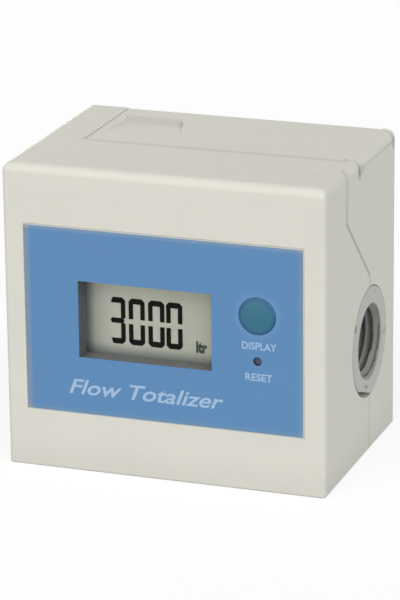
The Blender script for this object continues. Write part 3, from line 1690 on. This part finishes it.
@dataclass
class FlowUnit:
    """The flow body with its tapped ports, and the rotor, cover, seal and bearings inside it."""

    casing: Casing
    crest_r: float = 5.65
    root_r: float = 6.75
    skim: float = 0.02
    pitch: float = 1.411
    lead: float = 0.79
    flats: Span = (0.09, 0.17)
    flank: float = 0.53
    bore_l: float = 13.0
    run_out: float = 0.3
    turns: int = 12
    steps: int = 40

    def tap(self) -> Solid:
        """Returns the tap that cuts the right-hand thread: a profile wound along the port's axis."""
        outside, turns, steps = self.casing.box.high.x, self.turns, self.steps
        crest, root, pitch = self.crest_r - self.skim, self.root_r, self.pitch
        crest_end = self.flats[0]
        root_start = crest_end + self.flank
        root_end = root_start + self.flats[1]
        profile = [(0.0, crest), (crest_end, crest), (root_start, root), (root_end, root),
                   (root_end + self.flank, crest), (pitch, crest)]
        mesh = bmesh.new()
        points = [mesh.verts.new((radius, 0, along)) for along, radius in profile]
        edges = [mesh.edges.new(pair) for pair in zip(points, points[1:])]
        bmesh.ops.spin(mesh, geom=points + edges, cent=(0, 0, 0), axis=(0, 0, 1), angle=math.tau * turns,
                       dvec=(0, 0, pitch / steps), steps=steps * turns, use_merge=False)
        bmesh.ops.remove_doubles(mesh, verts=mesh.verts, dist=COARSE_MERGE)
        first, length = pitch + self.lead, self.bore_l + self.run_out
        for place, way in ((first, -1), (first + length, 1)):
            everything = mesh.verts[:] + mesh.edges[:] + mesh.faces[:]
            cut = bmesh.ops.bisect_plane(mesh, geom=everything, dist=MERGE, plane_co=(0, 0, place),
                                         plane_no=(0, 0, way), clear_outer=True)
            rim = [item for item in cut["geom_cut"] if isinstance(item, bmesh.types.BMEdge)]
            bmesh.ops.contextual_create(mesh, geom=rim)
        bmesh.ops.translate(mesh, verts=mesh.verts, vec=(*self.casing.port, outside - self.bore_l - first))
        return Solid(mesh).laid(Axis.X)

    def body(self) -> Solid:
        """Returns the flow body: the CAD body's shape with a true thread in each port."""
        whole = Solid.of_node("flow_body")
        tap = self.tap()
        return whole.joined(Join.WITHOUT, tap, tap.mirrored())

    def build(self) -> None:
        """Builds the flow body and dresses what it holds."""
        present(self.body(), "meter_body", BODY_GREY, "flow_body")
        dress(BODY_GREY, "chamber_cover")
        dress(SEAL_BLACK, "chamber_seal")
        dress(STEEL, "chamber_screws", "rotor_shaft", "inlet_screen")
        dress(STONE_RED, "front_bearing", "rear_bearing")
        dress(ROTOR_WHITE, "rotor", "jet_nozzle")
        dress(MAGNET_GREY, "rotor_magnets")


@dataclass
class Batteries:
    """The two cells, their contacts, springs and leads."""

    casing: Casing
    radius: float = 5.25
    button_l: float = 0.9
    button_play: float = 1.5
    band_l: float = 10.2
    wire_r: float = 0.3
    coil_r: Span = (3.1, 2.1)
    coil_l: float = 1.5
    coil_turns: float = 2.25
    coil_steps: int = 28

    def dressed_cells(self) -> dict[str, Solid]:
        """Makes the parts of both cells: their metal cans, their wraps and the bands by their buttons.

        Returns:
            Each part by its name.
        """
        box, r, b = self.casing.cells, self.radius, self.button_l
        end, band = box.size.x - self.button_play, b + self.band_l
        profiles = {
            "cell_cans": [(0, 0.0), (0, 1.55), (0.15, 1.8), (b, 1.9), (b, 3.6), (b - 0.2, 4.0),
                          (b - 0.05, 4.7), (b + 0.4, 5.05), (end - 0.5, 5.05), (end - 0.1, 4.7),
                          (end - 0.1, 4.1), (end - 0.35, 3.9), (end, 3.5), (end, 0.0)],
            "cell_wraps": [(band, 5.0), (band, r), (end - 0.6, r), (end - 0.2, 5.1), (end - 0.2, 4.6),
                           (end - 0.5, 4.6), (end - 0.6, 5.0), (band, 5.0)],
            "cell_bands": [(band - 0.05, 5.0), (band - 0.05, r), (b + 0.35, r), (b, 5.1), (b, 4.6),
                           (b + 0.3, 4.6), (b + 0.35, 5.0), (band - 0.05, 5.0)],
        }
        lying = ((box.low.y + r, 1, box.high.x), (box.high.y - r, -1, box.low.x))
        parts = {}
        for name, profile in profiles.items():
            front, rear = [Solid.turned(Axis.X, (y, box.middle.z),
                                        [(tip - way * depth, radius) for depth, radius in profile])
                           for y, way, tip in lying]
            parts[name] = front.added(rear)
        return parts

    def spring(self, x: float, y: float, way: int) -> Solid:
        """Winds one conical contact spring.

        Args:
            x: Place of its wide end, on the contact plate.
            y: Its axis's place on Y.
            way: Which way along X it narrows.

        Returns:
            The spring.
        """
        wire, turns, (wide, narrow) = self.wire_r, self.coil_turns, self.coil_r
        height, count = self.coil_l - 2 * wire, int(turns * self.coil_steps)
        mesh = bmesh.new()
        turn = Matrix.Translation((wide, 0, wire)) @ Matrix.Rotation(math.radians(90), 4, "X")
        ring = bmesh.ops.create_circle(mesh, segments=10, radius=wire, matrix=turn)["verts"]
        edges = list({edge for vert in ring for edge in vert.link_edges})
        bmesh.ops.spin(mesh, geom=list(ring) + edges, cent=(0, 0, 0), axis=(0, 0, 1), angle=math.tau * turns,
                       dvec=(0, 0, height / count), steps=count, use_merge=False)
        bmesh.ops.holes_fill(mesh, edges=mesh.edges, sides=0)
        for vert in mesh.verts:
            share = min(max((vert.co.z - wire) / height, 0.0), 1.0)
            reach = math.hypot(vert.co.x, vert.co.y)
            vert.co.xy *= (reach - (wide - narrow) * share) / reach
        bmesh.ops.scale(mesh, vec=(1, 1, way), verts=mesh.verts)
        bmesh.ops.translate(mesh, verts=mesh.verts, vec=(y, self.casing.cells.middle.z, x))
        return Solid(mesh).laid(Axis.X)

    def build(self) -> None:
        """Builds the cells and springs, and dresses the contacts and leads."""
        cells = self.dressed_cells()
        present(cells["cell_cans"], "cell_cans", CAN_METAL)
        present(cells["cell_wraps"], "cell_wraps", CELL_BLACK, "battery_cells")
        present(cells["cell_bands"], "cell_bands", CELL_COPPER)
        springs, box = Extent.of("contact_springs"), self.casing.cells
        low = self.spring(springs.low.x, box.low.y + self.radius, 1)
        high = self.spring(springs.high.x, box.high.y - self.radius, -1)
        present(low.added(high), "wound_springs", STEEL, "contact_springs")
        dress(STEEL, "bridge_contact", "pole_contacts")
        dress(LEAD_RED, "positive_lead")
        dress(LEAD_BLACK, "negative_lead")


class Electronics:
    """The circuit board and what is soldered to it."""

    def build(self) -> None:
        """Dresses the board and its parts."""
        dress(BOARD_GREEN, "circuit_board")
        dress(STEEL, "board_screws")
        dress(CHIP_BLACK, "controller_chip", "flow_sensor")
        dress(CAN_METAL, "quartz_crystal", "board_capacitor")


@dataclass
class Studio:
    """The floor, the lights and the camera."""

    azimuth: float = 19.83
    elevation: float = 18.09
    roll: float = -0.65
    lens: float = 205.98
    camera_at: Triple = (200.34, -557.25, 220.72)
    ambient: float = 0.31
    floor_lit: float = 0.42
    floor_shown: float = 0.3
    floor_glow: float = 0.76
    floor_half: float = 6.0

    def camera(self) -> None:
        """Makes the camera at the photograph's viewing angle."""
        a, e, r = (math.radians(angle) for angle in (self.azimuth, self.elevation, self.roll))
        back = Vector((math.sin(a) * math.cos(e), -math.cos(a) * math.cos(e), math.sin(e)))
        right = (-back).cross(Vector((0, 0, 1))).normalized()
        up = right.cross(-back)
        turned = right * math.cos(r) + up * math.sin(r)
        risen = up * math.cos(r) - right * math.sin(r)
        data = bpy.data.cameras.new("camera")
        data.lens = self.lens
        data.clip_start = 0.01
        camera = linked("camera", data)
        place = Matrix((turned, risen, back)).transposed().to_4x4()
        place.translation = Vector(self.camera_at) * MM
        camera.matrix_world = place
        bpy.context.scene.camera = camera

    def sun(self, name: str, towards: Sequence[float], strength: float, spread: float,
            colour: Triple = (1.0, 1.0, 1.0)) -> None:
        """Adds one soft distant light.

        Args:
            name: Its name.
            towards: The direction from the meter to the light.
            strength: The share of its colour that a white surface square to it gives back.
            spread: The light's width as an angle in degrees.
            colour: Its colour.
        """
        data = bpy.data.lights.new(name, "SUN")
        data.energy = strength * math.pi
        data.angle = math.radians(spread)
        data.color = colour
        light = linked(name, data)
        light.rotation_mode = "QUATERNION"
        light.rotation_quaternion = Vector(towards).to_track_quat("Z", "Y")

    def surroundings(self) -> None:
        """Lights the meter evenly all round, and shows white where the camera or a mirror looks past it."""
        world = bpy.data.worlds.new("studio")
        graph = NodeGraph(world)
        soft = graph.node("ShaderNodeBackground", sockets={"Color": grey(self.ambient) + (1,)})
        white = graph.node("ShaderNodeBackground", sockets={"Color": grey(1) + (1,)})
        graph.finish("ShaderNodeOutputWorld", soft, white)
        bpy.context.scene.world = world

    def floor(self) -> None:
        """Makes a plain pale floor that keeps the meter's shadow."""
        mesh = bmesh.new()
        bmesh.ops.create_grid(mesh, x_segments=1, y_segments=1, size=self.floor_half)
        data = bpy.data.meshes.new("floor")
        mesh.to_mesh(data)
        material = bpy.data.materials.new("floor")
        graph = NodeGraph(material)
        lit = graph.node("ShaderNodeBsdfDiffuse", sockets={"Color": grey(self.floor_lit) + (1,)})
        shown = graph.node("ShaderNodeBsdfDiffuse", sockets={"Color": grey(self.floor_shown) + (1,)})
        glow = graph.node("ShaderNodeEmission", sockets={"Color": grey(self.floor_glow) + (1,)})
        bright = graph.node("ShaderNodeAddShader", sockets={0: shown.outputs[0], 1: glow.outputs[0]})
        graph.finish("ShaderNodeOutputMaterial", lit, bright)
        data.materials.append(material)
        linked("floor", data)

    def build(self) -> None:
        """Builds the studio."""
        self.camera()
        self.surroundings()
        self.sun("key", towards=(-0.35, -0.86, 0.28), strength=0.64, spread=80)
        self.sun("fill", towards=(0.82, -0.48, 0.28), strength=0.66, spread=80, colour=(0.91, 0.95, 1.0))
        self.sun("back", towards=(-0.6, 0.8, 0.02), strength=0.35, spread=24)
        self.floor()
        bpy.context.scene.view_settings.view_transform = "Standard"


def main() -> None:
    """Builds every sub-assembly in order."""
    logging.basicConfig(level=logging.INFO, format="%(name)s: %(message)s")
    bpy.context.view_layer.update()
    Studio().build()
    casing = Casing()
    casing.build()
    BatteryDoor(casing).build()
    FrontLabel(casing).build()
    Display(casing).build()
    Keys(casing).build()
    FlowUnit(casing).build()
    Batteries(casing).build()
    Electronics().build()


if __name__ == "__main__":
    main()
